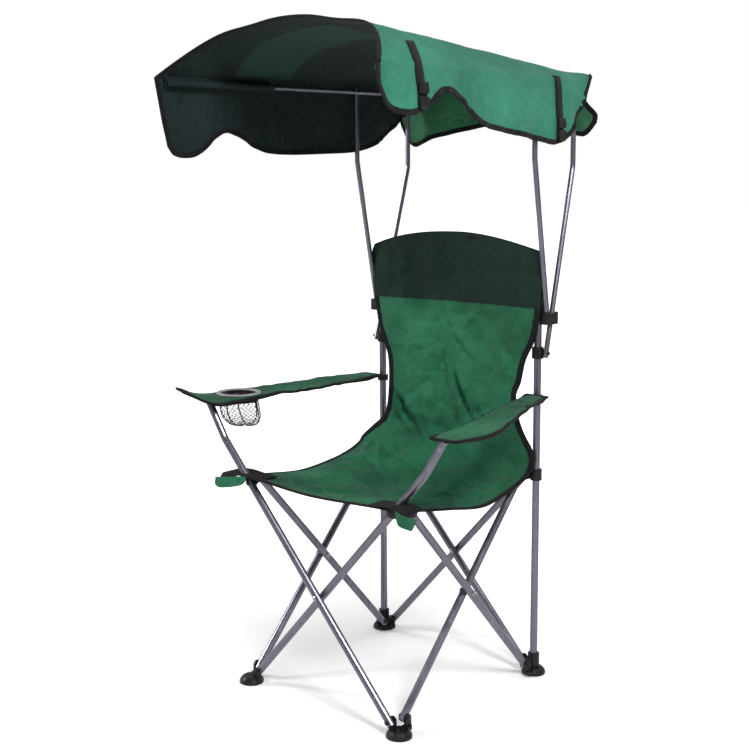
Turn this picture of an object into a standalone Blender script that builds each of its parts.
"""Canopy backpack chair: a four-sided scissor frame with a sling seat, soft arms, a cup holder and a tilting canopy.

Units are metres and degrees. +Z is up, the sitter faces -Y, and the origin is on the floor under the
middle of the frame. LEFT is -X and RIGHT is +X. Each of the four upright faces has two crossed tubes.
Seen from outside a face, the tube that rises to the left lies in the outer plane, so that four equal
corners can be used twice. The two front tubes run on past the seat corners and carry the arms.
"""

import math
from collections import namedtuple

import bmesh
import bpy
from mathutils import Matrix, Vector

LEFT, RIGHT = -1, 1
FRONT, REAR = -1, 1

# Clearances and fineness
GAP = 0.0003
OVERRUN = 0.004
CLOTH_CLEARANCE = 0.0012
ROUND_SIDES = 18
EAR_SIDES = 10
CUP_SIDES = 28
PIN_SIDES = 10
HOLE_SIDES = 8
TUBE_BEVEL = 5
THIN_TUBE_BEVEL = 3
BEND_STEPS = 4

# Scissor frame
TUBE_RADIUS = 0.008
TUBE_WALL = 0.0012
LAYER_GAP = 0.0006
PIN_SPAN = 0.385
CORNER_INSET_X = 0.0135
CORNER_INSET_Y = 0.029
FOOT_PIN_Z = 0.028
SEAT_PIN_Z = 0.447
END_PAST_PIN = 0.009
ARM_TUBE_STRAIGHT = 0.115
ARM_TUBE_TOP = 0.085
ARM_TUBE_BEND = 10.0
ARM_BEND_RADIUS = 0.06
PIN_RADIUS = 0.003
PIN_HEAD_RADIUS = 0.0056
PIN_HEAD_HEIGHT = 0.0018
POST_OUTSET = 0.013
POST_BOTTOM_Z = 0.016
POST_RISE = 0.461

# Places that follow from the frame
HALF_SPAN = PIN_SPAN / 2
CORNER_X = HALF_SPAN + CORNER_INSET_X
CORNER_Y = HALF_SPAN + CORNER_INSET_Y
TUBE_ANGLE = math.atan2(SEAT_PIN_Z - FOOT_PIN_Z, PIN_SPAN)
LAYER = TUBE_RADIUS + LAYER_GAP / 2
POST_X = CORNER_X + POST_OUTSET
POST_Y = CORNER_Y
POST_TOP_Z = SEAT_PIN_Z + POST_RISE
PIN_HOLE_RADIUS = PIN_RADIUS + GAP
POST_HOLE_RADIUS = TUBE_RADIUS + GAP
OUTER_EAR_X = CORNER_X + LAYER_GAP / 2 + 2 * TUBE_RADIUS + GAP

# Corner fittings and feet
EAR_RADIUS = 0.009
EAR_THICKNESS = 0.0045
COLLAR_RADIUS = 0.0125
COLLAR_HEIGHT = 0.024
FOOT_RADIUS = 0.026
FOOT_HEIGHT = 0.0145
FOOT_LIP_HEIGHT = 0.006
FOOT_CROWN_RADIUS = 0.019
FOOT_OUTSET = 0.005
SOCKET_HEIGHT = 0.046

# Canopy frame
STRUT_RADIUS = 0.0055
RAIL_RADIUS = 0.005
THIN_WALL = 0.001
RIVET_RADIUS = 0.0018
RIVET_HEAD_RADIUS = 0.0042
RIVET_HEAD_HEIGHT = 0.0014
STRUT_FOOT_OUTSET = 0.0205
BRACKET_BELOW_TOP = 0.197
BRACKET_Y_LEAD = 0.0015
CLAMP_ABOVE_BRACKET = 0.074
CLAMP_Y_TRAIL = 0.0035
CLAMP_HEIGHT = 0.026
CLAMP_FRONT_REACH = 0.007
CLAMP_REAR_REACH = 0.029
CLAMP_OUTER_OUTSET = 0.031
CLAMP_INNER_OUTSET = 0.0093
REAR_STRUT_OUTSET = 0.011
REAR_STRUT_REACH = 0.1045
REAR_BEND_RISE = 0.390
FRONT_STRUT_LEAD = 0.0565
FRONT_BEND_RISE = 0.405
STRUT_BEND_RADIUS = 0.05
RAIL_RISE = 0.5565
RAIL_SPLAY = 0.088
RAIL_FRONT_INSET = 0.018
RAIL_REAR_INSET = 0.025
RAIL_STRUT_GAP = 0.0008
STRUT_END_ABOVE_RAIL = 0.0075
STRUT_FOOT_X = POST_X + STRUT_FOOT_OUTSET
RAIL_OFFSET = STRUT_RADIUS + RAIL_RADIUS + RAIL_STRUT_GAP
RIVET_HOLE_RADIUS = RIVET_RADIUS + GAP
BRACKET_Z = POST_TOP_Z - BRACKET_BELOW_TOP
CLAMP_Z = BRACKET_Z + CLAMP_ABOVE_BRACKET
RAIL_Z = BRACKET_Z + RAIL_RISE
REAR_STRUT_X = POST_X + REAR_STRUT_OUTSET
REAR_STRUT_Y = POST_Y + REAR_STRUT_REACH
FRONT_STRUT_Y = POST_Y - FRONT_STRUT_LEAD

# Canopy cloth, with places along it as shares of its depth from front to rear
CANOPY_CLOTH = 0.0016
CANOPY_DEPTH = 0.740
CANOPY_REAR_OVERHANG = 0.1485
CANOPY_REAR_Y = POST_Y + CANOPY_REAR_OVERHANG
CANOPY_FRONT_Y = CANOPY_REAR_Y - CANOPY_DEPTH
EAVE_ABOVE_RAIL = 0.0095
EAVE_Z = RAIL_Z + EAVE_ABOVE_RAIL
EAVE_OVERHANG_FRONT = 0.0136
EAVE_OVERHANG_REAR = 0.0234
ROOF_RISE_FRONT = 0.114
ROOF_RISE_REAR = 0.034
ROOF_ARCH_POWER = 3.6
ROOF_FRONT_CUTBACK = 0.095
ROOF_CUTBACK_POWER = 4.5
SEAM_GAP = 0.0004
VALANCE_TOP_DROP = 0.0018
SLEEVE_REAR_SHARE = 0.385
SLEEVE_WEB_SHARE = 0.125
SLEEVE_TURN = 335.0
FLUTE_DEPTH = 0.007
FLUTES_BETWEEN_STRAPS = 5
REAR_FLUTES = 3
VALANCE_END_MARGIN = 0.003
FRONT_SLANT_LEFT = 0.028
FRONT_SLANT_RIGHT = 0.010
REAR_SLANT = 0.095
REAR_SLANT_SHARE = 0.72
REAR_VALANCE_LOBE_DROP = 0.122
REAR_VALANCE_ARCH_DROP = 0.080
REAR_LOBE_SHARE = 0.80

# Drops of the side valances: a front lobe, an arch and a long rear lobe that deepens to the rear
FRONT_LOBE_DROP_LEFT = 0.152
FRONT_LOBE_DROP_RIGHT = 0.088
ARCH_DROP_LEFT = 0.103
ARCH_DROP_RIGHT = 0.044
REAR_LOBE_DROP_LEFT = 0.146
REAR_LOBE_DROP_RIGHT = 0.108
HEM_DROP_LEFT = 0.138
HEM_DROP_RIGHT = 0.132
LOBE_CORNER_SHARE = 0.05
LOBE_END_SHARE = 0.145
ARCH_SHARE_LEFT = 0.251
ARCH_SHARE_RIGHT = 0.275
REAR_LOBE_START_SHARE = 0.445
REAR_LOBE_END_SHARE = 0.80
LOBE_CORNER_DROP_SHARE = 0.80

# Canopy straps
STRAP_WIDTH = 0.022
STRAP_THICKNESS = 0.0016
STRAP_LIFT = 0.0014
STRAP_STEPS = 6
FRONT_STRAP_SHARE = 0.173
REAR_STRAP_SHARE = 0.820
FRONT_STRAP_START = 0.045
FRONT_STRAP_DROP = 0.060
REAR_STRAP_DROP = 0.104
BUCKLE_LENGTH = 0.038
BUCKLE_WIDTH = 0.026
BUCKLE_THICKNESS = 0.008

# Seat and back slings
SLING = 0.003
SEAT_FRONT_OVERHANG = 0.0215
SEAT_REAR_INSET = 0.0215
SEAT_ABOVE_PINS = 0.0155
SEAT_FRONT_SPREAD = 0.007
SEAT_REAR_SPREAD = 0.004
SEAT_MIDDLE_SAG = 0.034
SEAT_FRONT_SAG = 0.014
SEAT_EDGE_SAG_LEFT = 0.018
SEAT_EDGE_SAG_RIGHT = 0.044
SEAT_TAUT_FRONT_SHARE = 0.14
SEAT_TAUT_REAR_SHARE = 0.96
SEAT_TAUT_SIDE_SHARE = 0.85
FLAP_HALF_WIDTH = 0.021
FLAP_DROP = 0.046
SEAT_FRONT_Y = -CORNER_Y - SEAT_FRONT_OVERHANG
SEAT_REAR_Y = CORNER_Y - SEAT_REAR_INSET
SEAT_CORNER_Z = SEAT_PIN_Z + SEAT_ABOVE_PINS
BACK_ABOVE_SEAT = 0.002
BACK_FOOT_SPREAD = 0.007
BACK_WAIST_INSET = 0.041
BACK_TOP_SPREAD = 0.013
BACK_WAIST_START = 0.138
BACK_WAIST_END = 0.163
BACK_SHOULDER_RISE = 0.343
BACK_CORNER_BELOW_TOP = 0.002
BACK_CROWN_ABOVE_TOP = 0.049
BACK_CROWN_POWER = 2.2
BACK_LOW_LEAD = 0.020
BACK_BOW = 0.018
BACK_BOTTOM_BOW = 0.004
POCKET_DEPTH = 0.108
POCKET_WALL = 0.0018
POCKET_CAP = 0.0025
BACK_BOTTOM_Z = SEAT_CORNER_Z + BACK_ABOVE_SEAT
BACK_WAIST_LOW_Z = BACK_BOTTOM_Z + BACK_WAIST_START
BACK_WAIST_HIGH_Z = BACK_BOTTOM_Z + BACK_WAIST_END
BACK_SHOULDER_Z = BACK_BOTTOM_Z + BACK_SHOULDER_RISE

# Arms
ARM_CLOTH = 0.003
ARM_FRONT_REACH = 0.0405
ARM_WIDE_INSET = 0.0515
ARM_BEND_INSET = 0.0915
ARM_LEVEL_INSET = 0.1415
ARM_REAR_INSET = 0.0165
ARM_PAST_TUBE = 0.004
ARM_PAST_POST = 0.012
ARM_WIDE_HALF = 0.058
ARM_REAR_HALF = 0.027
ARM_TIP_SHARE = 0.35
ARM_TIP_POWER = 2.5
ARM_BRACKET_RISE = 0.161
ARM_BRACKET_HEIGHT = 0.012
ARM_TAB_REACH = 0.040
ARM_TAB_WIDTH = 0.020
ARM_TAB_THICKNESS = 0.003
ARM_FRONT_Y = -CORNER_Y - ARM_FRONT_REACH
ARM_WIDE_Y = -CORNER_Y + ARM_WIDE_INSET
ARM_BEND_Y = -CORNER_Y + ARM_BEND_INSET
ARM_LEVEL_END_Y = -CORNER_Y + ARM_LEVEL_INSET
ARM_REAR_Y = POST_Y - ARM_REAR_INSET
ARM_REAR_CENTRE_X = POST_X + ARM_PAST_POST
ARM_BRACKET_Z = SEAT_PIN_Z + ARM_BRACKET_RISE

# Cup holder
CUP_INSET = 0.002
CUP_BEHIND_WIDEST = 0.020
CUP_FLANGE_RADIUS = 0.050
CUP_FLANGE_HEIGHT = 0.003
CUP_HOLE_RADIUS = 0.0412
CUP_COLLAR_RADIUS = 0.0405
CUP_COLLAR_WALL = 0.0022
CUP_COLLAR_DROP = 0.014
POUCH_WALL = 0.0014
POUCH_DEPTH = 0.070
POUCH_BELLY_RADIUS = 0.0445
POUCH_FLOOR_RADIUS = 0.030
CUP_Y = ARM_WIDE_Y + CUP_BEHIND_WIDEST

Corner = namedtuple("Corner", "name x_side y_side foot_cross_outer")
CORNERS = (
    Corner("front_left", LEFT, FRONT, False),
    Corner("front_right", RIGHT, FRONT, True),
    Corner("rear_left", LEFT, REAR, True),
    Corner("rear_right", RIGHT, REAR, False),
)
SIDE_NAME = {LEFT: "left", RIGHT: "right"}
FRONT_SLANT = {LEFT: FRONT_SLANT_LEFT, RIGHT: FRONT_SLANT_RIGHT}
FRONT_LOBE_DROP = {LEFT: FRONT_LOBE_DROP_LEFT, RIGHT: FRONT_LOBE_DROP_RIGHT}
ARCH_DROP = {LEFT: ARCH_DROP_LEFT, RIGHT: ARCH_DROP_RIGHT}
ARCH_SHARE = {LEFT: ARCH_SHARE_LEFT, RIGHT: ARCH_SHARE_RIGHT}
REAR_LOBE_DROP = {LEFT: REAR_LOBE_DROP_LEFT, RIGHT: REAR_LOBE_DROP_RIGHT}
HEM_DROP = {LEFT: HEM_DROP_LEFT, RIGHT: HEM_DROP_RIGHT}
SEAT_EDGE_SAG = {LEFT: SEAT_EDGE_SAG_LEFT, RIGHT: SEAT_EDGE_SAG_RIGHT}


def make_material(name, colour, roughness, metallic=0.0):
    """A plain Principled material."""
    material = bpy.data.materials.new(name)
    material.use_nodes = True
    shader = material.node_tree.nodes["Principled BSDF"]
    shader.inputs["Base Color"].default_value = (*colour, 1.0)
    shader.inputs["Roughness"].default_value = roughness
    shader.inputs["Metallic"].default_value = metallic
    return material


def make_materials():
    """Every finish on the chair, by slot name."""
    return {
        "tube": make_material("grey_tube", (0.36, 0.35, 0.40), 0.35, 0.6),
        "plastic": make_material("black_plastic", (0.02, 0.02, 0.022), 0.45),
        "pin": make_material("steel_pin", (0.45, 0.45, 0.47), 0.35, 0.9),
        "sling": make_material("green_sling_cloth", (0.02, 0.16, 0.07), 0.8),
        "canopy": make_material("green_canopy_cloth", (0.03, 0.25, 0.13), 0.75),
        "ring": make_material("pale_grey_plastic", (0.6, 0.6, 0.62), 0.4),
        "net": make_material("grey_net", (0.45, 0.45, 0.48), 0.8),
        "webbing": make_material("black_webbing", (0.02, 0.02, 0.022), 0.85),
    }


# Mesh helpers


def evaluated_mesh(obj):
    """The object's mesh with its modifiers applied, in world space."""
    bpy.context.view_layer.update()
    depsgraph = bpy.context.evaluated_depsgraph_get()
    mesh = bpy.data.meshes.new_from_object(obj.evaluated_get(depsgraph))
    mesh.transform(obj.matrix_world)
    return mesh


def link(name, data):
    """A new object in the scene."""
    obj = bpy.data.objects.new(name, data)
    bpy.context.scene.collection.objects.link(obj)
    return obj


def bake(obj):
    """Turn obj into a plain mesh in world space, and remove obj."""
    mesh = evaluated_mesh(obj)
    bpy.data.objects.remove(obj)
    return mesh


def weld(mesh):
    """Close the loose caps and poles of a mesh and turn its faces out."""
    shape = bmesh.new()
    shape.from_mesh(mesh)
    bmesh.ops.remove_doubles(shape, verts=shape.verts, dist=GAP / 100)
    bmesh.ops.recalc_face_normals(shape, faces=shape.faces)
    shape.to_mesh(mesh)
    shape.free()
    return mesh


def boolean(mesh, tool, operation):
    """Join or cut mesh with another mesh, and use both up."""
    body = link("body", mesh)
    other = link("other", tool)
    modifier = body.modifiers.new("boolean", "BOOLEAN")
    modifier.operation = operation
    modifier.solver = "EXACT"
    modifier.object = other
    result = bake(body)
    bpy.data.objects.remove(other)
    return result


def fuse(meshes):
    """The union of overlapping meshes."""
    result = meshes[0]
    for mesh in meshes[1:]:
        result = boolean(result, mesh, "UNION")
    return result


def cut(mesh, tools):
    """Cut each tool out of mesh in turn."""
    for tool in tools:
        mesh = boolean(mesh, tool, "DIFFERENCE")
    return mesh


def along(start, end):
    """The matrix that takes +Z from the origin onto the line from start towards end."""
    start, end = Vector(start), Vector(end)
    turn = (end - start).to_track_quat("Z", "Y").to_matrix().to_4x4()
    return Matrix.Translation(start) @ turn


def cylinder(start, end, radius, sides=ROUND_SIDES):
    """A solid cylinder between two points."""
    length = (Vector(end) - Vector(start)).length
    shape = bmesh.new()
    bmesh.ops.create_cone(
        shape, cap_ends=True, segments=sides, radius1=radius, radius2=radius, depth=length
    )
    bmesh.ops.translate(shape, verts=shape.verts, vec=(0, 0, length / 2))
    bmesh.ops.transform(shape, verts=shape.verts, matrix=along(start, end))
    mesh = bpy.data.meshes.new("cylinder")
    shape.to_mesh(mesh)
    shape.free()
    return mesh


def hole_cutter(start, end, radius, sides=HOLE_SIDES):
    """A cutter whose flats just clear a circle of the radius given."""
    return cylinder(start, end, radius / math.cos(math.pi / sides), sides)


def box(low, high, bevel=0.0):
    """A box between two corners, with rounded edges if a bevel is given."""
    low, high = Vector(low), Vector(high)
    size = high - low
    shape = bmesh.new()
    bmesh.ops.create_cube(shape, size=1)
    bmesh.ops.scale(shape, verts=shape.verts, vec=size)
    bmesh.ops.translate(shape, verts=shape.verts, vec=(low + high) / 2)
    if bevel:
        bmesh.ops.bevel(shape, geom=shape.edges, offset=bevel, segments=2, profile=0.5, affect="EDGES")
    mesh = bpy.data.meshes.new("box")
    shape.to_mesh(mesh)
    shape.free()
    return mesh


def wrap(meshes):
    """The convex shape that just holds all the meshes given."""
    shape = bmesh.new()
    for mesh in meshes:
        shape.from_mesh(mesh)
    for face in list(shape.faces):
        shape.faces.remove(face)
    for edge in list(shape.edges):
        shape.edges.remove(edge)
    hull = bmesh.ops.convex_hull(shape, input=shape.verts)
    spare = [item for item in hull["geom_interior"] if isinstance(item, bmesh.types.BMVert)]
    bmesh.ops.delete(shape, geom=spare, context="VERTS")
    bmesh.ops.recalc_face_normals(shape, faces=shape.faces)
    mesh = bpy.data.meshes.new("wrap")
    shape.to_mesh(mesh)
    shape.free()
    return mesh


def turned(profile, matrix, sides=ROUND_SIDES):
    """A solid of revolution about +Z from (radius, height) points that run down its outer side."""
    mesh = bpy.data.meshes.new("profile")
    points = [(radius, 0, height) for radius, height in profile]
    mesh.from_pydata(points, [(i, i + 1) for i in range(len(points) - 1)], [])
    obj = link("profile", mesh)
    screw = obj.modifiers.new("screw", "SCREW")
    screw.steps = screw.render_steps = sides
    screw.use_merge_vertices = True
    screw.merge_threshold = GAP / 100
    obj.matrix_world = matrix
    return weld(bake(obj))


def bent_route(points, bend_radius):
    """The points of a route with each inner corner replaced by an arc."""
    points = [Vector(point) for point in points]
    route = [points[0]]
    for before, corner, after in zip(points, points[1:], points[2:]):
        back, ahead = (before - corner).normalized(), (after - corner).normalized()
        half = back.angle(ahead) / 2
        reach = bend_radius / math.tan(half)
        centre = corner + (back + ahead).normalized() * (bend_radius / math.sin(half))
        first = (corner + back * reach - centre).normalized()
        last = (corner + ahead * reach - centre).normalized()
        for step in range(BEND_STEPS + 1):
            route.append(centre + first.slerp(last, step / BEND_STEPS) * bend_radius)
    route.append(points[-1])
    return route


def rod(route, radius, bevel_resolution, capped):
    """A round bar along a route, as a mesh."""
    curve = bpy.data.curves.new("rod", "CURVE")
    curve.dimensions = "3D"
    curve.bevel_depth = radius
    curve.bevel_resolution = bevel_resolution
    curve.use_fill_caps = capped
    spline = curve.splines.new("POLY")
    spline.points.add(len(route) - 1)
    for point, place in zip(spline.points, route):
        point.co = (*place, 1)
    return bake(link("rod", curve))


def hollow_tube(points, radius, wall, bend_radius=0.05, bevel_resolution=TUBE_BEVEL, holes=()):
    """An open-ended tube along straight runs with round bends, drilled by the holes given."""
    route = bent_route(points, bend_radius) if len(points) > 2 else [Vector(p) for p in points]
    obj = link("tube", weld(rod(route, radius, bevel_resolution, False)))
    skin = obj.modifiers.new("wall", "SOLIDIFY")
    skin.thickness = wall
    skin.offset = -1
    return cut(bake(obj), holes)


def cloth(surface, columns, rows, thickness):
    """A sheet of even thickness over surface(u, v), where u and v run from 0 to 1."""
    shape = bmesh.new()
    bmesh.ops.create_grid(shape, x_segments=columns, y_segments=rows, size=1)
    for vert in shape.verts:
        vert.co = surface((vert.co.x + 1) / 2, (vert.co.y + 1) / 2)
    mesh = bpy.data.meshes.new("cloth")
    shape.to_mesh(mesh)
    shape.free()
    obj = link("cloth", mesh)
    skin = obj.modifiers.new("thickness", "SOLIDIFY")
    skin.thickness = thickness
    skin.offset = 0
    return bake(obj)


def smooth_share(value, low, high):
    """0 below low, 1 above high, and a smooth step between."""
    share = min(max((value - low) / (high - low), 0.0), 1.0)
    return share * share * (3 - 2 * share)


def mix(start, end, share):
    """The value that lies a share of the way from start to end."""
    return start + (end - start) * share


class Chair:
    """Collects the finished pieces, each with its material, and hangs each body on its joint."""

    def __init__(self):
        self.materials = make_materials()
        self.collection = bpy.data.collections.new("canopy_backpack_chair")
        bpy.context.scene.collection.children.link(self.collection)

    def add(self, name, mesh, material):
        """Add a finished piece."""
        mesh.name = name
        mesh.materials.clear()
        mesh.materials.append(self.materials[material])
        mesh.shade_smooth()
        mesh.set_sharp_from_angle(angle=math.radians(35))
        obj = bpy.data.objects.new(name, mesh)
        self.collection.objects.link(obj)

    def hang(self, body, parent, pivot, pieces):
        """Parent pieces to an empty that stands on their body's joint."""
        empty = bpy.data.objects.new(body + "_axis", None)
        self.collection.objects.link(empty)
        empty.location = pivot
        bpy.context.view_layer.update()
        if parent:
            holder = bpy.data.objects[parent + "_axis"]
            empty.parent = holder
            empty.matrix_parent_inverse = holder.matrix_world.inverted()
        bpy.context.view_layer.update()
        for piece in pieces:
            obj = bpy.data.objects[piece]
            obj.parent = empty
            obj.matrix_parent_inverse = empty.matrix_world.inverted()


# Places on the frame


def cross_y(y_side, outer):
    """The plane of a front or rear tube."""
    return y_side * (CORNER_Y + (LAYER if outer else -LAYER))


def side_x(x_side, outer):
    """The plane of a left or right tube."""
    return x_side * (CORNER_X + (LAYER if outer else -LAYER))


def stud_segments(corner, cross_outer):
    """The two studs of a corner as (start, end) places in plan, from the ear's far face through the tube.

    The first stud runs along Y through the front or rear tube, the second along X through the left or
    right tube.
    """
    reach = LAYER + TUBE_RADIUS
    if cross_outer:
        cross_start, cross_end = CORNER_Y - EAR_THICKNESS, CORNER_Y + reach
        side_start, side_end = CORNER_X + EAR_THICKNESS, CORNER_X - reach
    else:
        cross_start, cross_end = CORNER_Y + EAR_THICKNESS, CORNER_Y - reach
        side_start, side_end = OUTER_EAR_X + EAR_THICKNESS, CORNER_X + LAYER - TUBE_RADIUS
    x_side, y_side = corner.x_side, corner.y_side
    along_y = (
        (x_side * HALF_SPAN, y_side * cross_start),
        (x_side * HALF_SPAN, y_side * cross_end),
    )
    along_x = (
        (x_side * side_start, y_side * HALF_SPAN),
        (x_side * side_end, y_side * HALF_SPAN),
    )
    return along_y, along_x


def pin_hole(centre, axis, reach=0.03):
    """A cutter for a pin hole through centre along axis."""
    centre, axis = Vector(centre), Vector(axis)
    return hole_cutter(centre - axis * reach, centre + axis * reach, PIN_HOLE_RADIUS)


def headed_pin(start, end, radius, head_radius, head_height):
    """A plain pin with a low domed head just past each of two points."""
    start, end = Vector(start), Vector(end)
    axis = (end - start).normalized()
    length = (end - start).length + 2 * GAP
    crown = head_radius * 0.55
    profile = [
        (0, length + head_height),
        (crown, length + head_height),
        (head_radius, length),
        (radius, length),
        (radius, 0),
        (head_radius, 0),
        (crown, -head_height),
        (0, -head_height),
    ]
    matrix = along(start - axis * GAP, end + axis * GAP)
    return turned(profile, matrix, PIN_SIDES)


def stud(start, end):
    """A steel stud moulded into an ear, with its free head just past the tube that it carries."""
    start, end = Vector(start), Vector(end)
    length = (end - start).length + GAP
    crown = PIN_HEAD_RADIUS * 0.55
    profile = [
        (0, length + PIN_HEAD_HEIGHT),
        (crown, length + PIN_HEAD_HEIGHT),
        (PIN_HEAD_RADIUS, length),
        (PIN_RADIUS, length),
        (PIN_RADIUS, PIN_HEAD_HEIGHT),
        (PIN_HEAD_RADIUS, PIN_HEAD_HEIGHT),
        (PIN_HEAD_RADIUS, -LAYER_GAP),
        (crown, -PIN_HEAD_HEIGHT),
        (0, -PIN_HEAD_HEIGHT),
    ]
    return turned(profile, along(start, end), PIN_SIDES)


def studs(corner, cross_outer, height):
    """Both studs of a corner fitting."""
    return [
        stud((*start, height), (*end, height)) for start, end in stud_segments(corner, cross_outer)
    ]


def rivet(start, end):
    """A thin rivet of the canopy frame."""
    return headed_pin(start, end, RIVET_RADIUS, RIVET_HEAD_RADIUS, RIVET_HEAD_HEIGHT)


# Scissor tubes


def scissor_run(low_sign, place):
    """The two end points of a straight scissor tube, through its pins, as (span, height) pairs.

    low_sign is the side of the face that the foot is on, and place turns a pair into a point.
    """
    slope = Vector((-low_sign * math.cos(TUBE_ANGLE), math.sin(TUBE_ANGLE)))
    foot = Vector((low_sign * HALF_SPAN, FOOT_PIN_Z))
    seat = Vector((-low_sign * HALF_SPAN, SEAT_PIN_Z))
    return place(foot - slope * END_PAST_PIN), place(seat + slope * END_PAST_PIN)


def face_holes(low_sign, place, axis):
    """Cutters for the two pin holes and the middle rivet's hole of a scissor tube."""
    pins = (
        (low_sign * HALF_SPAN, FOOT_PIN_Z),
        (-low_sign * HALF_SPAN, SEAT_PIN_Z),
        (0, (FOOT_PIN_Z + SEAT_PIN_Z) / 2),
    )
    return [pin_hole(place(Vector(pin)), axis) for pin in pins]


def front_rear_place(y):
    """Turns (x, z) into a point in a front or rear plane."""
    return lambda pair: Vector((pair[0], y, pair[1]))


def left_right_place(x):
    """Turns (y, z) into a point in a left or right plane."""
    return lambda pair: Vector((x, pair[0], pair[1]))


def arm_tube_points(low_sign, y):
    """The run of a front tube, from its foot past the seat corner and up to the arm."""
    place = front_rear_place(y)
    start, _ = scissor_run(low_sign, place)
    rise = -low_sign
    corner = Vector((rise * HALF_SPAN, SEAT_PIN_Z))
    bend = corner + ARM_TUBE_STRAIGHT * Vector((rise * math.cos(TUBE_ANGLE), math.sin(TUBE_ANGLE)))
    top_angle = TUBE_ANGLE + math.radians(ARM_TUBE_BEND)
    top = bend + ARM_TUBE_TOP * Vector((rise * math.cos(top_angle), math.sin(top_angle)))
    return [start, place(bend), place(top)]


def arm_tube_crown():
    """The highest point of an arm tube's cut end."""
    top = arm_tube_points(LEFT, 0)[-1]
    lean = TUBE_ANGLE + math.radians(ARM_TUBE_BEND)
    return top.z + TUBE_RADIUS * math.cos(lean)


def add_scissor_tubes(chair):
    """The eight crossed tubes, two in each upright face."""
    axis_y, axis_x = Vector((0, 1, 0)), Vector((1, 0, 0))
    front = (("front_tube_to_right_arm", LEFT, False), ("front_tube_to_left_arm", RIGHT, True))
    for name, foot_side, outer in front:
        y = cross_y(FRONT, outer)
        holes = face_holes(foot_side, front_rear_place(y), axis_y)
        points = arm_tube_points(foot_side, y)
        mesh = hollow_tube(points, TUBE_RADIUS, TUBE_WALL, ARM_BEND_RADIUS, holes=holes)
        chair.add(name, mesh, "tube")
    rear = (("rear_tube_rising_right", LEFT, True), ("rear_tube_rising_left", RIGHT, False))
    for name, foot_side, outer in rear:
        place = front_rear_place(cross_y(REAR, outer))
        holes = face_holes(foot_side, place, axis_y)
        chair.add(name, hollow_tube(scissor_run(foot_side, place), TUBE_RADIUS, TUBE_WALL, holes=holes), "tube")
    sides = (
        ("left_tube_rising_rear", LEFT, FRONT, True),
        ("left_tube_rising_front", LEFT, REAR, False),
        ("right_tube_rising_rear", RIGHT, FRONT, False),
        ("right_tube_rising_front", RIGHT, REAR, True),
    )
    for name, x_side, foot_side, outer in sides:
        place = left_right_place(side_x(x_side, outer))
        holes = face_holes(foot_side, place, axis_x)
        chair.add(name, hollow_tube(scissor_run(foot_side, place), TUBE_RADIUS, TUBE_WALL, holes=holes), "tube")


def add_crossing_rivets(chair):
    """The rivet in the middle of each face, through both of its tubes."""
    height = (FOOT_PIN_Z + SEAT_PIN_Z) / 2
    reach = LAYER + TUBE_RADIUS
    places = {
        "front": ((0, -CORNER_Y - reach, height), (0, -CORNER_Y + reach, height)),
        "rear": ((0, CORNER_Y - reach, height), (0, CORNER_Y + reach, height)),
        "left": ((-CORNER_X - reach, 0, height), (-CORNER_X + reach, 0, height)),
        "right": ((CORNER_X - reach, 0, height), (CORNER_X + reach, 0, height)),
    }
    for face, (start, end) in places.items():
        mesh = headed_pin(start, end, PIN_RADIUS, PIN_HEAD_RADIUS, PIN_HEAD_HEIGHT)
        chair.add("crossing_rivet_" + face, mesh, "pin")



# Corner fittings


def ear_discs(corner, cross_outer, height):
    """The round ends of the two ears at their pins, as (start, end) centres."""
    x_side, y_side = corner.x_side, corner.y_side
    cross_low = CORNER_Y - EAR_THICKNESS if cross_outer else CORNER_Y
    side_low = CORNER_X if cross_outer else OUTER_EAR_X
    along_y = (
        Vector((x_side * HALF_SPAN, y_side * cross_low, height)),
        Vector((x_side * HALF_SPAN, y_side * (cross_low + EAR_THICKNESS), height)),
    )
    along_x = (
        Vector((x_side * side_low, y_side * HALF_SPAN, height)),
        Vector((x_side * (side_low + EAR_THICKNESS), y_side * HALF_SPAN, height)),
    )
    return along_y, along_x


def sorted_box(first, second, bevel=0.0):
    """A box between any two opposite corners."""
    low = [min(a, b) for a, b in zip(first, second)]
    high = [max(a, b) for a, b in zip(first, second)]
    return box(low, high, bevel)


def foot_centre(corner):
    """The middle of a foot's sole. The rear feet stand under the posts."""
    x = POST_X if corner.y_side == REAR else CORNER_X + FOOT_OUTSET
    return Vector((corner.x_side * x, corner.y_side * POST_Y, 0))


def foot_ear(disc, crown_z):
    """An ear that rises from a foot's crown to its pin."""
    start, end = disc
    drop = Vector((0, 0, crown_z - start.z))
    thickness = end - start
    across = Vector((thickness.y, thickness.x, 0)).normalized() * EAR_RADIUS
    root = sorted_box(start - across + drop, end + across + drop + Vector((0, 0, FOOT_LIP_HEIGHT / 3)))
    return wrap([cylinder(start, end, EAR_RADIUS, EAR_SIDES), root])


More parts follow.
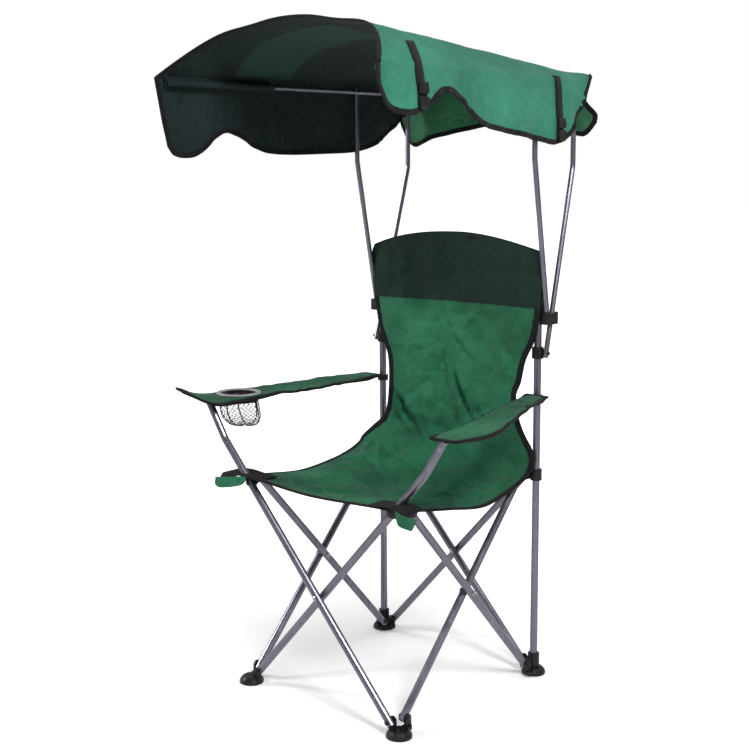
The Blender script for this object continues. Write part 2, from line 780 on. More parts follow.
def add_feet(chair):
    """Four moulded feet. Each carries two tubes on its studs, and the rear ones hold the posts."""
    for corner in CORNERS:
        centre = foot_centre(corner)
        profile = [
            (0, FOOT_HEIGHT),
            (FOOT_CROWN_RADIUS, FOOT_HEIGHT),
            (FOOT_RADIUS * 0.93, FOOT_HEIGHT * 0.66),
            (FOOT_RADIUS, FOOT_LIP_HEIGHT),
            (FOOT_RADIUS, 0),
            (0, 0),
        ]
        base = turned(profile, Matrix.Translation(centre))
        root_z = FOOT_LIP_HEIGHT
        solids = [base]
        discs = ear_discs(corner, corner.foot_cross_outer, FOOT_PIN_Z)
        solids += [foot_ear(disc, root_z) for disc in discs]
        for disc in discs:
            middle = (disc[0] + disc[1]) / 2
            pad_low = Vector((middle.x, middle.y, root_z))
            pad_high = Vector((middle.x, middle.y, FOOT_HEIGHT - CLOTH_CLEARANCE))
            pad = cylinder(pad_low, pad_high, EAR_RADIUS, EAR_SIDES)
            hub_low = Vector((centre.x, centre.y, root_z))
            hub_high = Vector((centre.x, centre.y, FOOT_HEIGHT - CLOTH_CLEARANCE))
            hub = cylinder(hub_low, hub_high, EAR_RADIUS, EAR_SIDES)
            solids.append(wrap([pad, hub]))
        bores = []
        if corner.y_side == REAR:
            low = Vector((centre.x, centre.y, root_z))
            high = Vector((centre.x, centre.y, SOCKET_HEIGHT))
            solids.append(cylinder(low, high, COLLAR_RADIUS))
            floor = Vector((centre.x, centre.y, POST_BOTTOM_Z - GAP))
            bores.append(hole_cutter(floor, high + Vector((0, 0, OVERRUN)), POST_HOLE_RADIUS, ROUND_SIDES))
        body = cut(fuse(solids), bores)
        mesh = fuse([body, *studs(corner, corner.foot_cross_outer, FOOT_PIN_Z)])
        chair.add("foot_" + corner.name, mesh, "plastic")


def add_front_corner(chair, corner):
    """A bracket that joins a front tube and a side tube under the seat's corner."""
    cross_outer = not corner.foot_cross_outer
    cross_disc, side_disc = ear_discs(corner, cross_outer, SEAT_PIN_Z)
    outer_x = side_disc[1].x
    outer_y = cross_disc[1].y
    if not cross_outer:
        outer_y = corner.y_side * (CORNER_Y + EAR_THICKNESS)
    half = EAR_RADIUS
    low, high = SEAT_PIN_Z - half, SEAT_PIN_Z + half
    cross_plate = sorted_box(
        (cross_disc[0].x, cross_disc[0].y, low), (outer_x, cross_disc[1].y, high)
    )
    side_plate = sorted_box((side_disc[0].x, side_disc[0].y, low), (side_disc[1].x, outer_y, high))
    solids = [cylinder(*cross_disc, half, EAR_SIDES), cross_plate]
    solids += [cylinder(*side_disc, half, EAR_SIDES), side_plate]
    mesh = fuse([*solids, *studs(corner, cross_outer, SEAT_PIN_Z)])
    chair.add("seat_corner_" + corner.name, mesh, "plastic")


def add_rear_corner(chair, corner):
    """A collar that slides on a rear post, with an ear for each of two tubes."""
    cross_outer = not corner.foot_cross_outer
    cross_disc, side_disc = ear_discs(corner, cross_outer, SEAT_PIN_Z)
    post = Vector((corner.x_side * POST_X, corner.y_side * POST_Y, 0))
    low = post + Vector((0, 0, SEAT_PIN_Z - COLLAR_HEIGHT / 2))
    high = post + Vector((0, 0, SEAT_PIN_Z + COLLAR_HEIGHT / 2))
    half = EAR_RADIUS
    bottom, top = SEAT_PIN_Z - half, SEAT_PIN_Z + half
    cross_plate = sorted_box((cross_disc[0].x, cross_disc[0].y, bottom), (post.x, cross_disc[1].y, top))
    side_plate = sorted_box((side_disc[0].x, side_disc[0].y, bottom), (side_disc[1].x, post.y, top))
    solids = [cylinder(low, high, COLLAR_RADIUS)]
    solids += [cylinder(*cross_disc, half, EAR_SIDES), cross_plate]
    solids += [cylinder(*side_disc, half, EAR_SIDES), side_plate]
    run = Vector((0, 0, OVERRUN))
    bore = hole_cutter(low - run, high + run, POST_HOLE_RADIUS, ROUND_SIDES)
    body = cut(fuse(solids), [bore])
    chair.add("seat_corner_" + corner.name, fuse([body, *studs(corner, cross_outer, SEAT_PIN_Z)]), "plastic")


def add_posts(chair):
    """The two rear posts, which stand in the rear feet."""
    for side in (LEFT, RIGHT):
        points = [(side * POST_X, POST_Y, POST_BOTTOM_Z), (side * POST_X, POST_Y, POST_TOP_Z)]
        mesh = hollow_tube(points, TUBE_RADIUS, TUBE_WALL)
        chair.add(SIDE_NAME[side] + "_post", mesh, "tube")


# Canopy frame


def rail_x(y):
    """The rail's distance from the middle, which grows towards the front."""
    return REAR_STRUT_X - RAIL_OFFSET + RAIL_SPLAY * (REAR_STRUT_Y - y)


def rear_strut_points(side):
    """The rear strut, from the bracket on the post up to the rail."""
    return [
        Vector((side * STRUT_FOOT_X, POST_Y - BRACKET_Y_LEAD, BRACKET_Z - END_PAST_PIN)),
        Vector((side * REAR_STRUT_X, REAR_STRUT_Y, BRACKET_Z + REAR_BEND_RISE)),
        Vector((side * REAR_STRUT_X, REAR_STRUT_Y, RAIL_Z + STRUT_END_ABOVE_RAIL)),
    ]


def front_strut_points(side):
    """The front strut, from the clamp up to the rail."""
    x = rail_x(FRONT_STRUT_Y) + RAIL_OFFSET
    return [
        Vector((side * STRUT_FOOT_X, POST_Y + CLAMP_Y_TRAIL, CLAMP_Z)),
        Vector((side * x, FRONT_STRUT_Y, BRACKET_Z + FRONT_BEND_RISE)),
        Vector((side * x, FRONT_STRUT_Y, RAIL_Z + STRUT_END_ABOVE_RAIL)),
    ]


def canopy_rivet_places(side):
    """Each rivet of one side of the canopy frame, as (start, end) points along X."""
    front_x = rail_x(FRONT_STRUT_Y) + RAIL_OFFSET
    across = RAIL_OFFSET + RAIL_RADIUS
    bracket_y, bracket_face = bracket_pin_place()
    return {
        "bracket": (
            Vector((side * (bracket_face - EAR_THICKNESS + GAP), bracket_y, BRACKET_Z)),
            Vector((side * (STRUT_FOOT_X + STRUT_RADIUS), bracket_y, BRACKET_Z)),
        ),
        "front": (
            Vector((side * (front_x - across), FRONT_STRUT_Y, RAIL_Z)),
            Vector((side * (front_x + STRUT_RADIUS), FRONT_STRUT_Y, RAIL_Z)),
        ),
        "rear": (
            Vector((side * (REAR_STRUT_X - across), REAR_STRUT_Y, RAIL_Z)),
            Vector((side * (REAR_STRUT_X + STRUT_RADIUS), REAR_STRUT_Y, RAIL_Z)),
        ),
    }


def bracket_pin_place():
    """The height-free place of the canopy's tilt pin: its Y, and the X of the bracket's outer face."""
    start, bend, _ = rear_strut_points(RIGHT)
    share = END_PAST_PIN / (bend.z - start.z)
    return mix(start.y, bend.y, share), STRUT_FOOT_X - STRUT_RADIUS - 2 * LAYER_GAP


def add_canopy_frame(chair, side):
    """The bracket, clamp, two struts, rail and rivets of one side of the canopy."""
    name = SIDE_NAME[side]
    axis_x = Vector((side, 0, 0))
    places = canopy_rivet_places(side)

    def drill(key):
        start, end = places[key]
        return hole_cutter(start - axis_x * OVERRUN, end + axis_x * OVERRUN, RIVET_HOLE_RADIUS)

    rear = rear_strut_points(side)
    front = front_strut_points(side)
    options = {"bend_radius": STRUT_BEND_RADIUS, "bevel_resolution": THIN_TUBE_BEVEL}
    chair.add(
        f"canopy_rear_strut_{name}",
        hollow_tube(rear, STRUT_RADIUS, THIN_WALL, holes=[drill("bracket"), drill("rear")], **options),
        "tube",
    )
    chair.add(
        f"canopy_front_strut_{name}",
        hollow_tube(front, STRUT_RADIUS, THIN_WALL, holes=[drill("front")], **options),
        "tube",
    )
    rail_ends = (CANOPY_FRONT_Y + RAIL_FRONT_INSET, CANOPY_REAR_Y - RAIL_REAR_INSET)
    rail = [Vector((side * rail_x(y), y, RAIL_Z)) for y in rail_ends]
    chair.add(
        f"canopy_rail_{name}",
        hollow_tube(
            rail, RAIL_RADIUS, THIN_WALL, bevel_resolution=THIN_TUBE_BEVEL,
            holes=[drill("front"), drill("rear")],
        ),
        "tube",
    )
    for end in ("front", "rear"):
        chair.add(f"canopy_rivet_{end}_{name}", rivet(*places[end]), "pin")
    add_canopy_bracket(chair, side, places["bracket"])
    add_canopy_clamp(chair, side, front, rear)


def add_canopy_bracket(chair, side, pin):
    """The fixed bracket on the post, moulded round its tilt pin."""
    post = Vector((side * POST_X, POST_Y, 0))
    low = post + Vector((0, 0, BRACKET_Z - COLLAR_HEIGHT / 2))
    high = post + Vector((0, 0, BRACKET_Z + COLLAR_HEIGHT / 2))
    pin_y, face_x = bracket_pin_place()
    inner = Vector((side * (POST_X + TUBE_RADIUS / 2), pin_y, BRACKET_Z))
    outer = Vector((side * face_x, pin_y, BRACKET_Z))
    solids = [cylinder(low, high, COLLAR_RADIUS), cylinder(inner, outer, EAR_RADIUS)]
    run = Vector((0, 0, OVERRUN))
    mesh = cut(fuse(solids), [hole_cutter(low - run, high + run, POST_HOLE_RADIUS, ROUND_SIDES)])
    start, end = pin
    head_low = end + Vector((side * GAP, 0, 0))
    head_high = head_low + Vector((side * RIVET_HEAD_HEIGHT, 0, 0))
    stem = cylinder(start, (head_low + head_high) / 2, RIVET_RADIUS, PIN_SIDES)
    mesh = fuse([mesh, stem, cylinder(head_low, head_high, RIVET_HEAD_RADIUS, PIN_SIDES)])
    chair.add(f"canopy_bracket_{SIDE_NAME[side]}", mesh, "plastic")


def add_canopy_clamp(chair, side, front, rear):
    """The moulded clamp that hooks round the post and holds both struts."""
    low_z, high_z = CLAMP_Z - CLAMP_HEIGHT / 2, CLAMP_Z + CLAMP_HEIGHT / 2
    block = sorted_box(
        (side * (POST_X + CLAMP_INNER_OUTSET), POST_Y - CLAMP_FRONT_REACH, low_z),
        (side * (POST_X + CLAMP_OUTER_OUTSET), POST_Y + CLAMP_REAR_REACH, high_z),
        CLOTH_CLEARANCE,
    )
    post_low = Vector((side * POST_X, POST_Y, low_z))
    post_high = Vector((side * POST_X, POST_Y, high_z))
    half_ring = cylinder(post_low, post_high, COLLAR_RADIUS)
    front_half = sorted_box(
        (side * (POST_X - 2 * COLLAR_RADIUS), POST_Y - 2 * COLLAR_RADIUS, low_z - OVERRUN),
        (side * (POST_X + 2 * COLLAR_RADIUS), POST_Y, high_z + OVERRUN),
    )
    half_ring = cut(half_ring, [front_half])
    run = Vector((0, 0, OVERRUN))
    bore = hole_cutter(post_low - run, post_high + run, POST_HOLE_RADIUS, ROUND_SIDES)
    rear_line = (rear[1] - rear[0]).normalized()
    rear_hole = hole_cutter(rear[0], rear[0] + rear_line * (CLAMP_Z - rear[0].z) * 2, STRUT_RADIUS + GAP, EAR_SIDES)
    front_line = (front[1] - front[0]).normalized()
    front_hole = hole_cutter(
        front[0] - front_line * GAP, front[0] + front_line * CLAMP_HEIGHT, STRUT_RADIUS + GAP, EAR_SIDES
    )
    mesh = cut(fuse([block, half_ring]), [bore, rear_hole, front_hole])
    chair.add(f"canopy_clamp_{SIDE_NAME[side]}", mesh, "plastic")


# Canopy cloth


def depth_share(y):
    """How far back y lies along the canopy, from 0 at its front to 1 at its rear."""
    return (y - CANOPY_FRONT_Y) / CANOPY_DEPTH


def eave_half(y):
    """The half width of the canopy at its eaves."""
    return rail_x(y) + mix(EAVE_OVERHANG_FRONT, EAVE_OVERHANG_REAR, depth_share(y))


def roof_height(x_share, y):
    """The height of the roof, x_share of the way from the middle to the eave."""
    rise = mix(ROOF_RISE_FRONT, ROOF_RISE_REAR, depth_share(y))
    return EAVE_Z + rise * (1 - abs(x_share) ** ROOF_ARCH_POWER)


def roof_front(x_share):
    """The front edge of the roof in plan, which is cut back between the eaves."""
    return CANOPY_FRONT_Y + ROOF_FRONT_CUTBACK * (1 - abs(x_share) ** ROOF_CUTBACK_POWER)


def roof_rear():
    """The rear edge of the roof in plan."""
    return CANOPY_REAR_Y - CANOPY_CLOTH / 2


def roof_point(side):
    """The surface of one half of the roof."""

    def surface(u, v):
        share = 1 - (1 - u) ** 1.6
        y = mix(roof_front(share), roof_rear(), v)
        x = mix(SEAM_GAP / 2, eave_half(y), share)
        return (side * x, y, roof_height(x / eave_half(y), y))

    return surface


def sleeve_point(side):
    """The hem round the front part of a rail, joined to the eave by a short web."""
    ring = RAIL_RADIUS + GAP + CANOPY_CLOTH / 2

    def surface(u, v):
        y = CANOPY_FRONT_Y + mix(RAIL_FRONT_INSET, SLEEVE_REAR_SHARE * CANOPY_DEPTH, v)
        centre = Vector((rail_x(y), RAIL_Z))
        edge_x = eave_half(y) - 2 * CANOPY_CLOTH
        eave = Vector((edge_x, roof_height(edge_x / eave_half(y), y)))
        reach = eave - centre
        start = math.atan2(reach.y, reach.x)
        if u < SLEEVE_WEB_SHARE:
            edge = centre + ring * Vector((math.cos(start), math.sin(start)))
            place = eave.lerp(edge, u / SLEEVE_WEB_SHARE)
        else:
            turn = start + (u - SLEEVE_WEB_SHARE) / (1 - SLEEVE_WEB_SHARE) * math.radians(SLEEVE_TURN)
            place = centre + ring * Vector((math.cos(turn), math.sin(turn)))
        return (side * place.x, y, place.y)

    return surface


def side_drop(side, y):
    """How far a side valance hangs at y: a front lobe, an arch, and a rear lobe that deepens."""
    share = depth_share(y)
    front, arch, rear, hem = FRONT_LOBE_DROP[side], ARCH_DROP[side], REAR_LOBE_DROP[side], HEM_DROP[side]
    if share < LOBE_END_SHARE:
        return front * mix(LOBE_CORNER_DROP_SHARE, 1, smooth_share(share, 0, LOBE_CORNER_SHARE))
    if share < ARCH_SHARE[side]:
        return mix(front, arch, smooth_share(share, LOBE_END_SHARE, ARCH_SHARE[side]))
    if share < REAR_LOBE_START_SHARE:
        return mix(arch, rear, smooth_share(share, ARCH_SHARE[side], REAR_LOBE_START_SHARE))
    if share < REAR_LOBE_END_SHARE:
        return mix(rear, hem, (share - REAR_LOBE_START_SHARE) / (REAR_LOBE_END_SHARE - REAR_LOBE_START_SHARE))
    return hem * mix(1, LOBE_CORNER_DROP_SHARE, smooth_share(share, REAR_LOBE_END_SHARE, 1))


def flute_share(y):
    """The swell of the valance's folds, 1 under each strap and 0 between."""
    pitch_share = (REAR_STRAP_SHARE - FRONT_STRAP_SHARE) / FLUTES_BETWEEN_STRAPS
    return (1 + math.cos(2 * math.pi * (depth_share(y) - FRONT_STRAP_SHARE) / pitch_share)) / 2


def valance_x(y, drop):
    """The outside distance of a side valance, drop below the eave."""
    return eave_half(y) + FLUTE_DEPTH * flute_share(y) * smooth_share(drop, 0, HEM_DROP_RIGHT)


def side_valance_point(side):
    """The surface of a side valance."""

    def surface(u, v):
        low_y = CANOPY_FRONT_Y + VALANCE_END_MARGIN
        high_y = CANOPY_REAR_Y - VALANCE_END_MARGIN - CANOPY_CLOTH
        y = mix(low_y, high_y, u)
        drop = mix(VALANCE_TOP_DROP, side_drop(side, y), v)
        y += FRONT_SLANT[side] * v * (1 - smooth_share(u, 0, LOBE_END_SHARE))
        y -= REAR_SLANT * v * max(u - REAR_SLANT_SHARE, 0) / (1 - REAR_SLANT_SHARE)
        return (side * valance_x(y, drop), y, EAVE_Z - drop)

    return surface


def rear_valance_point(side):
    """The surface of one half of the rear valance."""
    half = eave_half(CANOPY_REAR_Y) - 2 * CANOPY_CLOTH

    def surface(u, v):
        x = mix(SEAM_GAP / 2, half, u)
        y = roof_rear()
        top = roof_height(x / eave_half(y), y) - VALANCE_TOP_DROP
        if u < REAR_LOBE_SHARE:
            drop = mix(REAR_VALANCE_ARCH_DROP, REAR_VALANCE_LOBE_DROP, smooth_share(u, 0, REAR_LOBE_SHARE))
        else:
            rise = smooth_share(u, REAR_LOBE_SHARE, 2 - REAR_LOBE_SHARE)
            drop = mix(REAR_VALANCE_LOBE_DROP, REAR_VALANCE_ARCH_DROP, rise)
        z = mix(top, EAVE_Z - drop, v)
        fold = FLUTE_DEPTH * math.sin(math.pi * REAR_FLUTES * u) ** 2 * v
        return (side * x, y - fold, z)

    return surface


def strap_path(y, roof_reach, drop):
    """The middle line of a strap in its own X-Z plane: down the roof's side and over the eave."""
    half = eave_half(y)
    stand_off = CANOPY_CLOTH / 2 + STRAP_LIFT + STRAP_THICKNESS / 2
    points = []
    if roof_reach:
        for step in range(STRAP_STEPS):
            x = half - roof_reach * (1 - step / STRAP_STEPS)
            fall = roof_height((x + GAP) / half, y) - roof_height(x / half, y)
            normal = Vector((-fall, GAP)).normalized()
            points.append(Vector((x, roof_height(x / half, y))) + normal * stand_off)
        points.append(Vector((half + stand_off, EAVE_Z + stand_off / 2)))
    for step in range(1, STRAP_STEPS + 1):
        depth = mix(VALANCE_TOP_DROP, drop, step / STRAP_STEPS)
        points.append(Vector((valance_x(y, depth) + stand_off, EAVE_Z - depth)))
    return points


def strap_with_buckle(side, y, roof_reach, drop):
    """One webbing strap with a side-release buckle at its lower end."""
    rows = len(strap_path(y, roof_reach, drop)) - 1

    def surface(u, v):
        across = y + (u - 0.5) * STRAP_WIDTH
        point = strap_path(across, roof_reach, drop)[round(v * rows)]
        return (side * point.x, across, point.y)

    strip = cloth(surface, 2, rows, STRAP_THICKNESS)
    end = strap_path(y, roof_reach, drop)[-1]
    inner = end.x - STRAP_THICKNESS / 4
    buckle = sorted_box(
        (side * inner, y - BUCKLE_WIDTH / 2, end.y - BUCKLE_LENGTH / 2),
        (side * (inner + BUCKLE_THICKNESS), y + BUCKLE_WIDTH / 2, end.y + BUCKLE_LENGTH / 2),
        CLOTH_CLEARANCE,
    )
    return fuse([strip, buckle])


def add_canopy_cloth(chair, side):
    """The roof, side valance, rear valance and straps of one side."""
    name = SIDE_NAME[side]
    roof = cloth(roof_point(side), 10, 8, CANOPY_CLOTH)
    sleeve = cloth(sleeve_point(side), 12, 2, CANOPY_CLOTH)
    chair.add(f"canopy_roof_{name}", fuse([roof, sleeve]), "canopy")
    chair.add(f"side_valance_{name}", cloth(side_valance_point(side), 40, 3, CANOPY_CLOTH), "canopy")
    chair.add(f"rear_valance_{name}", cloth(rear_valance_point(side), 15, 2, CANOPY_CLOTH), "canopy")
    front_y = CANOPY_FRONT_Y + FRONT_STRAP_SHARE * CANOPY_DEPTH
    rear_y = CANOPY_FRONT_Y + REAR_STRAP_SHARE * CANOPY_DEPTH
    front = strap_with_buckle(side, front_y, FRONT_STRAP_START, FRONT_STRAP_DROP)
    chair.add(f"canopy_front_strap_{name}", front, "webbing")
    rear = strap_with_buckle(side, rear_y, 0, REAR_STRAP_DROP)
    chair.add(f"canopy_rear_strap_{name}", rear, "webbing")


# Seat and back


def seat_height(side, x_share, y):
    """The height of the seat sling, which is taut over the frame's corners and dips between them."""
    length_share = (y - SEAT_FRONT_Y) / (SEAT_REAR_Y - SEAT_FRONT_Y)
    free_share = (length_share - SEAT_TAUT_FRONT_SHARE) / (SEAT_TAUT_REAR_SHARE - SEAT_TAUT_FRONT_SHARE)
    edge = SEAT_EDGE_SAG[side] * math.sin(math.pi * min(max(free_share, 0), 1))
    middle = mix(SEAT_FRONT_SAG, 0, length_share) + SEAT_MIDDLE_SAG * math.sin(math.pi * length_share)
    return SEAT_CORNER_Z - mix(middle, edge, smooth_share(x_share, 0, SEAT_TAUT_SIDE_SHARE))


def seat_point(side):
    """The surface of one half of the seat sling."""

    def surface(u, v):
        y = mix(SEAT_FRONT_Y, SEAT_REAR_Y, v)
        x = mix(SEAM_GAP / 2, CORNER_X + mix(SEAT_FRONT_SPREAD, SEAT_REAR_SPREAD, v), u)
        return (side * x, y, seat_height(side, u, y))

    return surface


def flap_point(side):
    """The loose tab that hangs in front of a seat corner."""

    def surface(u, v):
        width = FLAP_HALF_WIDTH * math.sqrt(1 - 0.75 * v ** 3)
        x = HALF_SPAN + mix(-width, width, u)
        return (side * x, SEAT_FRONT_Y, SEAT_CORNER_Z + CLOTH_CLEARANCE - v * FLAP_DROP)

    return surface


def back_half(z):
    """The half width of the back sling: wide at the seat, waisted, and wide over the posts."""
    waist = POST_X - BACK_WAIST_INSET
    if z < BACK_WAIST_HIGH_Z:
        return mix(POST_X + BACK_FOOT_SPREAD, waist, smooth_share(z, BACK_BOTTOM_Z, BACK_WAIST_LOW_Z))
    return mix(waist, POST_X + BACK_TOP_SPREAD, smooth_share(z, BACK_WAIST_HIGH_Z, BACK_SHOULDER_Z))


def back_point(side):
    """The surface of one half of the back sling."""
    front_of_post = POST_Y - POST_HOLE_RADIUS - SLING / 2
    corner = POST_TOP_Z - BACK_CORNER_BELOW_TOP

    def surface(u, v):
        crown = mix(POST_TOP_Z + BACK_CROWN_ABOVE_TOP, corner, u ** BACK_CROWN_POWER)
        z = mix(BACK_BOTTOM_Z, crown, v)
        x = mix(SEAM_GAP / 2, back_half(z), u)
        edge_y = mix(POST_Y - BACK_LOW_LEAD, front_of_post, smooth_share(z, BACK_WAIST_HIGH_Z, BACK_SHOULDER_Z))
        bow = mix(BACK_BOTTOM_BOW, BACK_BOW, smooth_share(z, BACK_BOTTOM_Z, BACK_WAIST_HIGH_Z))
        return (side * x, edge_y + bow * (1 - smooth_share(u, 0, 1)), z)

    return surface


def add_seat_and_back(chair, side):
    """One half of the seat and one half of the back, up to the seam in the middle."""
    name = SIDE_NAME[side]
    rise = side
    seat = cloth(seat_point(side), 9, 12, SLING)
    flap = cloth(flap_point(side), 4, 4, SLING)
    y = cross_y(FRONT, side == LEFT)
    start, bend, _ = arm_tube_points(-rise, y)
    line = (bend - start).normalized()
    slot = hole_cutter(start, bend + line * OVERRUN, TUBE_RADIUS + CLOTH_CLEARANCE)
    chair.add(f"seat_sling_{name}", cut(fuse([seat, flap]), [slot]), "sling")
    back = cloth(back_point(side), 8, 16, SLING)
    outer = POST_HOLE_RADIUS + POCKET_WALL
    profile = [
        (0, POST_TOP_Z + GAP + POCKET_CAP),
        (outer, POST_TOP_Z + GAP + POCKET_CAP),
        (outer, POST_TOP_Z - POCKET_DEPTH),
        (0, POST_TOP_Z - POCKET_DEPTH),
    ]
    pocket = turned(profile, Matrix.Translation((side * POST_X, POST_Y, 0)), EAR_SIDES)
    low = Vector((side * POST_X, POST_Y, POST_TOP_Z - POCKET_DEPTH - OVERRUN))
    high = Vector((side * POST_X, POST_Y, POST_TOP_Z + GAP))
    bore = hole_cutter(low, high, POST_HOLE_RADIUS, EAR_SIDES)
    mesh = cut(fuse([back, pocket]), [bore])
    chair.add(f"back_sling_{name}", mesh, "sling")


# Arms and cup holder


def arm_height(y):
    """The height of the middle of the arm cloth, which rises from the tube to the rear bracket."""
    front = arm_tube_crown() + GAP + ARM_CLOTH / 2
    rear = ARM_BRACKET_Z + ARM_BRACKET_HEIGHT + GAP + ARM_CLOTH / 2
    return mix(front, rear, smooth_share(y, ARM_LEVEL_END_Y, ARM_REAR_Y - ARM_TAB_REACH))


def arm_centre(y):
    """The middle line of an arm in plan, which runs from its tube's top to beside the post."""
    front = arm_tube_points(LEFT, 0)[-1].x + ARM_PAST_TUBE
    return mix(front, ARM_REAR_CENTRE_X, max((y - ARM_BEND_Y) / (ARM_REAR_Y - ARM_BEND_Y), 0))


def cup_x():
    """The cup holder's place across the left arm."""
    return LEFT * (arm_centre(CUP_Y) - CUP_INSET)


def arm_half(y):
    """The half width of an arm."""
    if y > ARM_WIDE_Y:
        return mix(ARM_WIDE_HALF, ARM_REAR_HALF, (y - ARM_WIDE_Y) / (ARM_REAR_Y - ARM_WIDE_Y))
    ahead = (ARM_WIDE_Y - y) / (ARM_WIDE_Y - ARM_FRONT_Y)
    return ARM_WIDE_HALF * mix(ARM_TIP_SHARE, 1, math.sqrt(max(1 - ahead ** ARM_TIP_POWER, 0)))


def arm_point(side):
    """The surface of an arm cloth."""

    def surface(u, v):
        y = mix(ARM_FRONT_Y, ARM_REAR_Y, v)
        x = arm_centre(y) + mix(-1, 1, u) * arm_half(y)
        return (side * x, y, arm_height(y))

    return surface


def add_arm(chair, side):
    """An arm cloth, and the bracket that carries its rear end on the post."""
    name = SIDE_NAME[side]
    mesh = cloth(arm_point(side), 4, 18, ARM_CLOTH)
    if side == LEFT:
        level = arm_height(CUP_Y)
        low = (cup_x(), CUP_Y, level - ARM_CLOTH - OVERRUN)
        high = (cup_x(), CUP_Y, level + ARM_CLOTH + OVERRUN)
        mesh = cut(mesh, [cylinder(low, high, CUP_HOLE_RADIUS, CUP_SIDES)])
    chair.add(f"arm_cloth_{name}", mesh, "sling")
    top = ARM_BRACKET_Z + ARM_BRACKET_HEIGHT
    low = Vector((side * POST_X, POST_Y, ARM_BRACKET_Z))
    high = Vector((side * POST_X, POST_Y, top))
    x = arm_centre(ARM_REAR_Y)
    tab = sorted_box(
        (side * (x - ARM_TAB_WIDTH / 2), POST_Y - ARM_TAB_REACH, top - ARM_TAB_THICKNESS),
        (side * (x + ARM_TAB_WIDTH / 2), POST_Y, top),
    )
    run = Vector((0, 0, OVERRUN))
    bore = hole_cutter(low - run, high + run, POST_HOLE_RADIUS, ROUND_SIDES)
    bracket = cut(fuse([cylinder(low, high, COLLAR_RADIUS), tab]), [bore])
    chair.add(f"arm_rear_bracket_{name}", bracket, "plastic")


def add_cup_holder(chair):
    """The ring that sits in the left arm, and the pouch that hangs from it."""
    level = arm_height(CUP_Y) + ARM_CLOTH / 2 + GAP
    inner = CUP_COLLAR_RADIUS - CUP_COLLAR_WALL
    place = Matrix.Translation((cup_x(), CUP_Y, 0))
    lip = CUP_FLANGE_HEIGHT / 3
    ring = [
        (inner, level + CUP_FLANGE_HEIGHT - lip),
        (inner + lip, level + CUP_FLANGE_HEIGHT),
        (CUP_FLANGE_RADIUS - 2 * lip, level + CUP_FLANGE_HEIGHT),
        (CUP_FLANGE_RADIUS, level + lip),
        (CUP_FLANGE_RADIUS, level),
        (CUP_COLLAR_RADIUS, level),
        (CUP_COLLAR_RADIUS, level - CUP_COLLAR_DROP),
        (inner, level - CUP_COLLAR_DROP),
        (inner, level + CUP_FLANGE_HEIGHT - lip),
    ]
    chair.add("cup_ring", turned(ring, place, CUP_SIDES), "ring")
    top = arm_height(CUP_Y) - ARM_CLOTH / 2 - GAP
    mouth = CUP_COLLAR_RADIUS + GAP
    belly = POUCH_BELLY_RADIUS - POUCH_WALL
    pouch = [
        (mouth, top),
        (mouth + POUCH_WALL, top),
        (POUCH_BELLY_RADIUS, top - POUCH_DEPTH * 0.35),
        (POUCH_BELLY_RADIUS * 0.93, top - POUCH_DEPTH * 0.70),
        (POUCH_FLOOR_RADIUS, top - POUCH_DEPTH * 0.95),
        (0, top - POUCH_DEPTH),
        (0, top - POUCH_DEPTH + POUCH_WALL),
        (POUCH_FLOOR_RADIUS - POUCH_WALL, top - POUCH_DEPTH * 0.95 + POUCH_WALL),
        (belly * 0.93, top - POUCH_DEPTH * 0.70),
        (belly, top - POUCH_DEPTH * 0.35),
        (mouth, top),
    ]
    chair.add("cup_pouch", turned(pouch, place, CUP_SIDES), "net")


# Assembly


def face_pin(x_side, y_side, height, cross):
    """The place of a pin in a front or rear face, or in a left or right face."""
    if cross:
        return Vector((x_side * HALF_SPAN, y_side * CORNER_Y, height))
    return Vector((x_side * CORNER_X, y_side * HALF_SPAN, height))


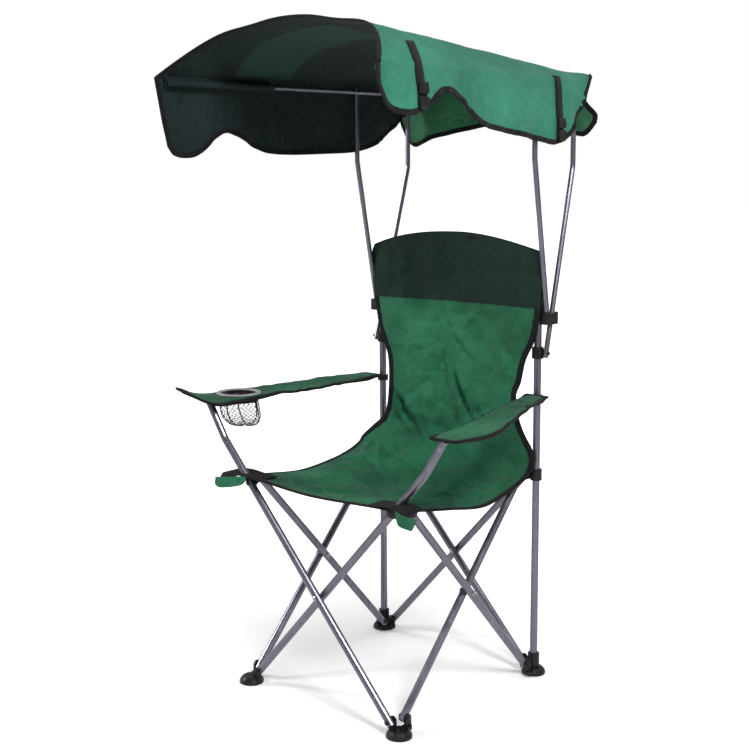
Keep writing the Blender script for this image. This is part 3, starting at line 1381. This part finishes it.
def add_bodies(chair):
    """Hang each moving body on its joint, from the left post outwards."""
    middle = (FOOT_PIN_Z + SEAT_PIN_Z) / 2
    rear_mid, front_mid = Vector((0, CORNER_Y, middle)), Vector((0, -CORNER_Y, middle))
    left_mid, right_mid = Vector((-CORNER_X, 0, middle)), Vector((CORNER_X, 0, middle))
    pin_y, _ = bracket_pin_place()
    tilt_left = Vector((-STRUT_FOOT_X, pin_y, BRACKET_Z))
    tilt_right = Vector((STRUT_FOOT_X, pin_y, BRACKET_Z))
    chair.hang(
        "left_post_body", None, Vector((0, 0, 0)),
        ["left_post", "foot_rear_left", "canopy_bracket_left",
         "arm_rear_bracket_left", "seat_sling_left", "back_sling_left"],
    )
    chair.hang(
        "rear_rising_right_body", "left_post_body", face_pin(LEFT, REAR, FOOT_PIN_Z, True),
        ["rear_tube_rising_right", "crossing_rivet_rear"],
    )
    chair.hang("rear_rising_left_body", "rear_rising_right_body", rear_mid, ["rear_tube_rising_left"])
    chair.hang(
        "right_post_body", "rear_rising_left_body", face_pin(RIGHT, REAR, FOOT_PIN_Z, True),
        ["right_post", "foot_rear_right", "canopy_bracket_right",
         "arm_rear_bracket_right", "seat_sling_right", "back_sling_right"],
    )
    chair.hang(
        "corner_rear_right_body", "rear_rising_right_body", face_pin(RIGHT, REAR, SEAT_PIN_Z, True),
        ["seat_corner_rear_right"],
    )
    chair.hang(
        "corner_rear_left_body", "rear_rising_left_body", face_pin(LEFT, REAR, SEAT_PIN_Z, True),
        ["seat_corner_rear_left"],
    )
    chair.hang(
        "left_rising_front_body", "left_post_body", face_pin(LEFT, REAR, FOOT_PIN_Z, False),
        ["left_tube_rising_front", "crossing_rivet_left"],
    )
    chair.hang("left_rising_rear_body", "left_rising_front_body", left_mid, ["left_tube_rising_rear"])
    chair.hang(
        "foot_front_left_body", "left_rising_rear_body", face_pin(LEFT, FRONT, FOOT_PIN_Z, False),
        ["foot_front_left"],
    )
    chair.hang(
        "corner_front_left_body", "left_rising_front_body", face_pin(LEFT, FRONT, SEAT_PIN_Z, False),
        ["seat_corner_front_left"],
    )
    chair.hang(
        "right_rising_front_body", "right_post_body", face_pin(RIGHT, REAR, FOOT_PIN_Z, False),
        ["right_tube_rising_front", "crossing_rivet_right"],
    )
    chair.hang("right_rising_rear_body", "right_rising_front_body", right_mid, ["right_tube_rising_rear"])
    chair.hang(
        "foot_front_right_body", "right_rising_rear_body", face_pin(RIGHT, FRONT, FOOT_PIN_Z, False),
        ["foot_front_right"],
    )
    chair.hang(
        "corner_front_right_body", "right_rising_front_body", face_pin(RIGHT, FRONT, SEAT_PIN_Z, False),
        ["seat_corner_front_right"],
    )
    chair.hang(
        "right_arm_body", "foot_front_left_body", face_pin(LEFT, FRONT, FOOT_PIN_Z, True),
        ["front_tube_to_right_arm", "crossing_rivet_front", "arm_cloth_right"],
    )
    chair.hang(
        "left_arm_body", "foot_front_right_body", face_pin(RIGHT, FRONT, FOOT_PIN_Z, True),
        ["front_tube_to_left_arm", "arm_cloth_left"],
    )
    chair.hang(
        "cup_holder_body", "left_arm_body", Vector((cup_x(), CUP_Y, arm_height(CUP_Y))),
        ["cup_ring", "cup_pouch"],
    )
    for side, holder, tilt in ((LEFT, "left_post_body", tilt_left), (RIGHT, "right_post_body", tilt_right)):
        name = SIDE_NAME[side]
        pieces = ["canopy_clamp_", "canopy_front_strut_", "canopy_rear_strut_", "canopy_rail_"]
        pieces += ["canopy_rivet_front_", "canopy_rivet_rear_", "canopy_roof_", "side_valance_"]
        pieces += ["rear_valance_", "canopy_front_strap_", "canopy_rear_strap_"]
        chair.hang(f"canopy_{name}_body", holder, tilt, [piece + name for piece in pieces])


def clear_scene():
    """Remove whatever the file starts with."""
    for obj in list(bpy.data.objects):
        bpy.data.objects.remove(obj)


def main():
    """Build the whole chair."""
    clear_scene()
    chair = Chair()
    add_posts(chair)
    add_feet(chair)
    add_scissor_tubes(chair)
    add_crossing_rivets(chair)
    for corner in CORNERS:
        if corner.y_side == FRONT:
            add_front_corner(chair, corner)
        else:
            add_rear_corner(chair, corner)
    for side in (LEFT, RIGHT):
        add_canopy_frame(chair, side)
        add_canopy_cloth(chair, side)
        add_seat_and_back(chair, side)
        add_arm(chair, side)
    add_cup_holder(chair)
    add_bodies(chair)


main()
